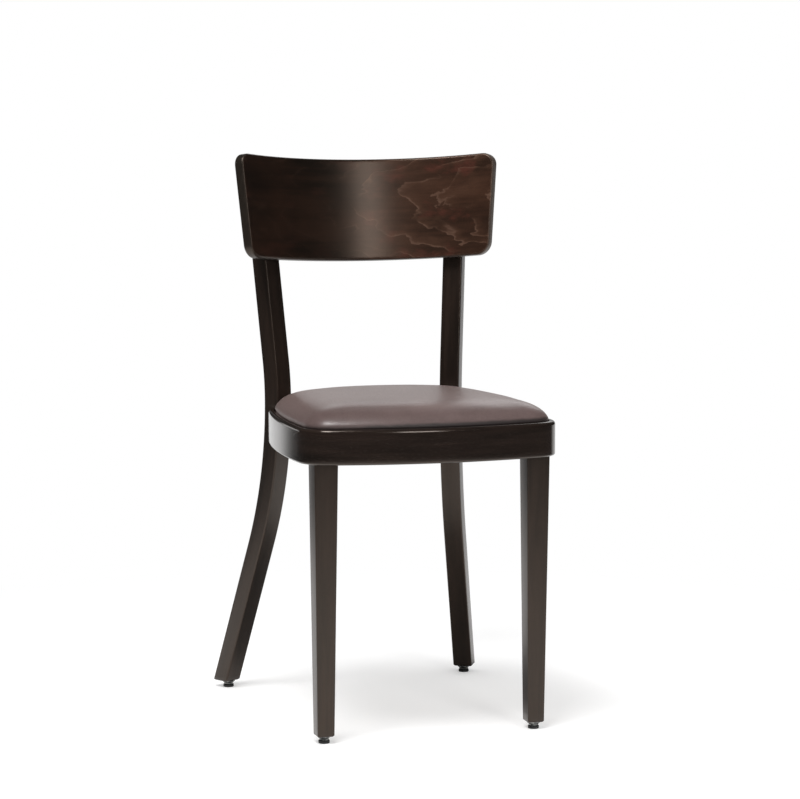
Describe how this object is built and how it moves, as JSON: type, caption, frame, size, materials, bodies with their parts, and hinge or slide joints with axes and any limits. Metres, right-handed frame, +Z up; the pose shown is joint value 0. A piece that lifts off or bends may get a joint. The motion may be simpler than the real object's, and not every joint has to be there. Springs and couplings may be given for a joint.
{
  "type": "upholstered cafe chair",
  "caption": "Dark-stained bentwood cafe chair with a ring-shaped seat frame, an inset leather pad, a curved plywood backrest and tapered legs on glides.",
  "frame": {"origin": "on the floor, in the middle of the chair's width and of its depth from the seat ring's front to the rear feet", "axes": "+Z up, -Y the way the sitter faces, +X the sitter's left"},
  "size_m": [0.4244, 0.4872, 0.8176],
  "materials": {
    "stained_wood": "satin lacquer",
    "stained_veneer": "satin lacquer",
    "plywood": "raw",
    "foam": "open-cell foam",
    "leather": "satin",
    "steel": "zinc plated",
    "dark_steel": "blackened",
    "glide": "matt"
  },
  "bodies": {
    "root": {"backrest": "stained_veneer", "backrest_left_lower_screw": "dark_steel", "backrest_left_upper_screw": "dark_steel", "backrest_right_lower_screw": "dark_steel", "backrest_right_upper_screw": "dark_steel", "front_left_block": "plywood", "front_left_glide_neck": "dark_steel", "front_left_glide_pad": "glide", "front_left_leg": "stained_wood", "front_left_leg_screw": "steel", "front_left_seat_screw": "steel", "front_right_block": "plywood", "front_right_glide_neck": "dark_steel", "front_right_glide_pad": "glide", "front_right_leg": "stained_wood", "front_right_leg_screw": "steel", "front_right_seat_screw": "steel", "rear_block": "plywood", "rear_left_glide_neck": "dark_steel", "rear_left_glide_pad": "glide", "rear_left_leg": "stained_wood", "rear_left_leg_lower_bolt": "steel", "rear_left_leg_upper_bolt": "steel", "rear_left_seat_screw": "steel", "rear_right_glide_neck": "dark_steel", "rear_right_glide_pad": "glide", "rear_right_leg": "stained_wood", "rear_right_leg_lower_bolt": "steel", "rear_right_leg_upper_bolt": "steel", "rear_right_seat_screw": "steel", "seat_board": "plywood", "seat_cover": "leather", "seat_foam": "foam", "seat_ring": "stained_wood"}
  },
  "joints": []
}
